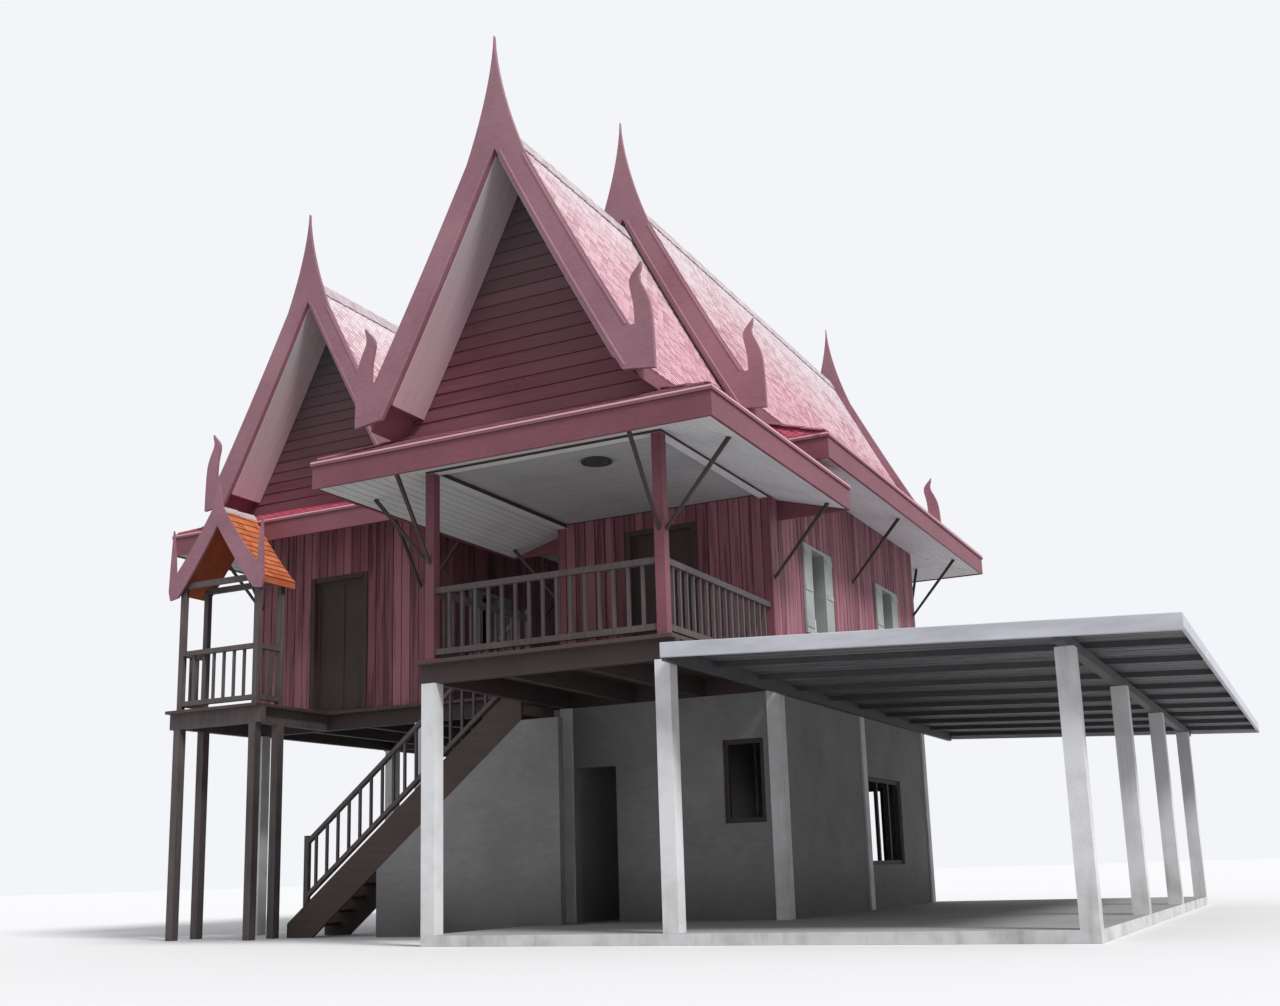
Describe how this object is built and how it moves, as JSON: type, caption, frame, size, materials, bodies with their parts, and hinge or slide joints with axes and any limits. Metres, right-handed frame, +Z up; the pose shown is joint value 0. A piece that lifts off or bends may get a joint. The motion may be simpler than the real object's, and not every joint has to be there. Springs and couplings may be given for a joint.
{
  "type": "raised Thai timber house",
  "caption": "Full-size raised Thai timber house with steep curved tiled roofs, spired gable boards, a twin wing, an open porch, an outside stair and a car shelter.",
  "frame": {"origin": "middle of the bounding box's underside, at ground level", "axes": "+Z up, +Y from the porch front to the rear, +X from the wing to the car shelter"},
  "size_m": [14.67, 12.25, 10.83],
  "materials": {
    "concrete": "painted, pale grey, lightly stained",
    "render": "trowelled grey render",
    "boards": "upright boards, faded red-brown paint",
    "trim": "maroon gloss paint, weathered",
    "tiles": "small faded pinkish roof tiles",
    "orange_tiles": "orange glazed roof tiles",
    "ceiling": "off-white painted boards",
    "painted_wood": "pale grey paint",
    "dark_frame": "dark stained wood",
    "sheet": "pale corrugated coated sheet",
    "steel": "dark grey painted steel",
    "floor_wood": "dark worn boards",
    "timber": "dark red-brown stained timber"
  },
  "bodies": {
    "root": {"ground_slab": "concrete", "concrete_posts": "concrete", "floor_beams": "timber", "house_floor": "floor_wood", "link_floor": "floor_wood", "ground_front_wall": "render", "ground_side_walls": "render", "ground_rear_wall": "render", "ground_windows": "dark_frame", "stair_wall": "render", "stair_treads": "floor_wood", "stair_strings": "timber", "stair_railing": "timber", "upper_posts": "trim", "wall_plates": "timber", "porch_railing": "timber", "front_wall": "boards", "right_wall": "boards", "left_wall": "boards", "rear_wall": "boards", "wing_front_wall": "boards", "wing_right_wall": "boards", "wing_left_wall": "boards", "wing_rear_wall": "boards", "window_linings": "painted_wood", "window_shutters": "painted_wood", "upper_doors": "timber", "porch_ceiling": "ceiling", "porch_roof": "tiles", "main_roof": "tiles", "wing_roof": "tiles", "house_gables": "boards", "wing_gables": "boards", "porch_gable_boards": "trim", "main_gable_boards": "trim", "wing_gable_boards": "trim", "eave_boards": "trim", "soffits": "ceiling", "eave_brackets": "timber", "gate_roof": "orange_tiles", "gate_boards": "trim", "gate_frame": "timber", "shelter_posts": "concrete", "shelter_beams": "steel", "shelter_roof": "sheet"}
  },
  "joints": []
}
